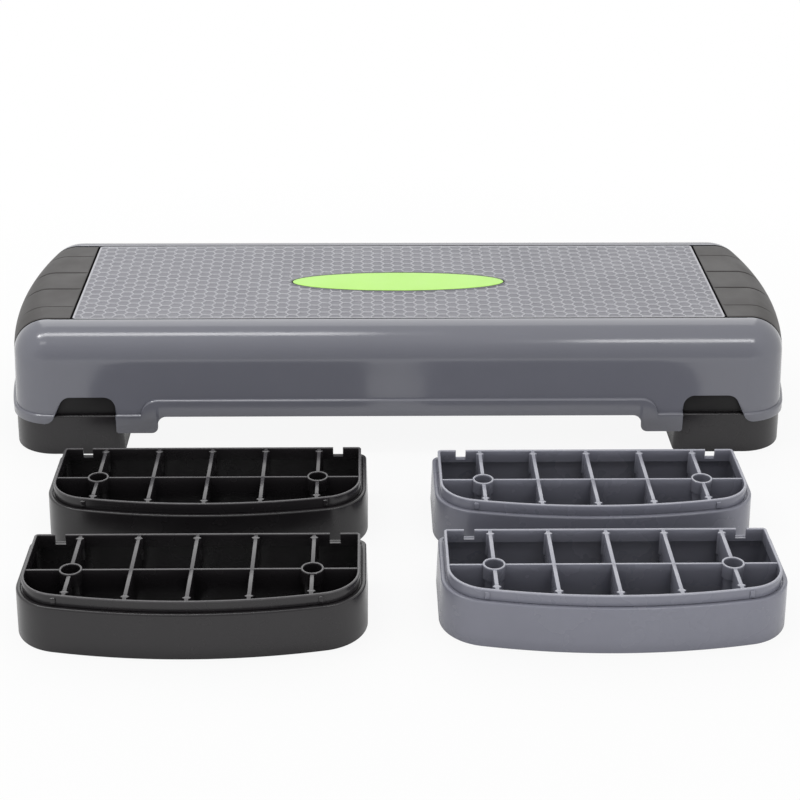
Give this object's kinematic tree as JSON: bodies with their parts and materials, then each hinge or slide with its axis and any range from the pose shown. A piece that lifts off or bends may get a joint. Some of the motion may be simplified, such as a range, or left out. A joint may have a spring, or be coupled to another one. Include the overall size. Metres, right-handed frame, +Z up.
{
  "type": "aerobic step platform",
  "caption": "Long moulded step platform with a textured tread and dark end grips, standing on plug-in risers, with loose stackable ribbed risers laid out in front of it.",
  "frame": {"origin": "centre of the whole set's footprint, on the floor that the risers stand on", "axes": "+X along the deck towards its right end, +Y from the loose risers towards the deck, +Z up"},
  "size_m": [0.918, 0.7558, 0.148],
  "materials": {
    "grey_shell": "satin gloss moulded polypropylene, cool mid grey",
    "tread_grey": "soft matte thermoplastic rubber with raised hexagon lines",
    "badge_green": "bare lime green oval plate, gloss",
    "grip_dark": "matte dark warm grey grip skin",
    "screw_steel": "zinc-plated steel",
    "riser_black": "satin moulded polypropylene, black",
    "riser_grey": "satin moulded polypropylene, cool grey",
    "pad_rubber": "black non-slip rubber"
  },
  "bodies": {
    "left_foot": {"left_foot_riser": "riser_black", "left_foot_rubber_pads": "pad_rubber"},
    "deck": {"deck_shell": "grey_shell", "tread_mat": "tread_grey", "badge_plate": "badge_green", "left_end_grip": "grip_dark", "right_end_grip": "grip_dark", "left_grip_screws": "screw_steel", "right_grip_screws": "screw_steel"},
    "right_foot": {"right_foot_riser": "riser_black", "right_foot_rubber_pads": "pad_rubber"},
    "black_rear": {"black_rear_riser": "riser_black", "black_rear_rubber_pads": "pad_rubber"},
    "black_front": {"black_front_riser": "riser_black", "black_front_rubber_pads": "pad_rubber"},
    "grey_rear": {"grey_rear_riser": "riser_grey", "grey_rear_rubber_pads": "pad_rubber"},
    "grey_front": {"grey_front_riser": "riser_grey", "grey_front_rubber_pads": "pad_rubber"}
  },
  "joints": [
    {"name": "deck_lift", "type": "slide", "parent": "left_foot", "child": "deck", "axis": [0, 0, 1], "range_m": [0, 0.12]},
    {"name": "right_foot_stay", "type": "slide", "parent": "deck", "child": "right_foot", "axis": [0, 0, -1], "range_m": [0, 0.12]},
    {"name": "black_rear_lift", "type": "slide", "parent": "left_foot", "child": "black_rear", "axis": [0, 0, 1], "range_m": [0, 0.15]},
    {"name": "black_front_lift", "type": "slide", "parent": "left_foot", "child": "black_front", "axis": [0, 0, 1], "range_m": [0, 0.15]},
    {"name": "grey_rear_lift", "type": "slide", "parent": "left_foot", "child": "grey_rear", "axis": [0, 0, 1], "range_m": [0, 0.15]},
    {"name": "grey_front_lift", "type": "slide", "parent": "left_foot", "child": "grey_front", "axis": [0, 0, 1], "range_m": [0, 0.15]}
  ],
  "couplings": [
    {"joint": "right_foot_stay", "follows": "deck_lift", "ratio": 1}
  ]
}
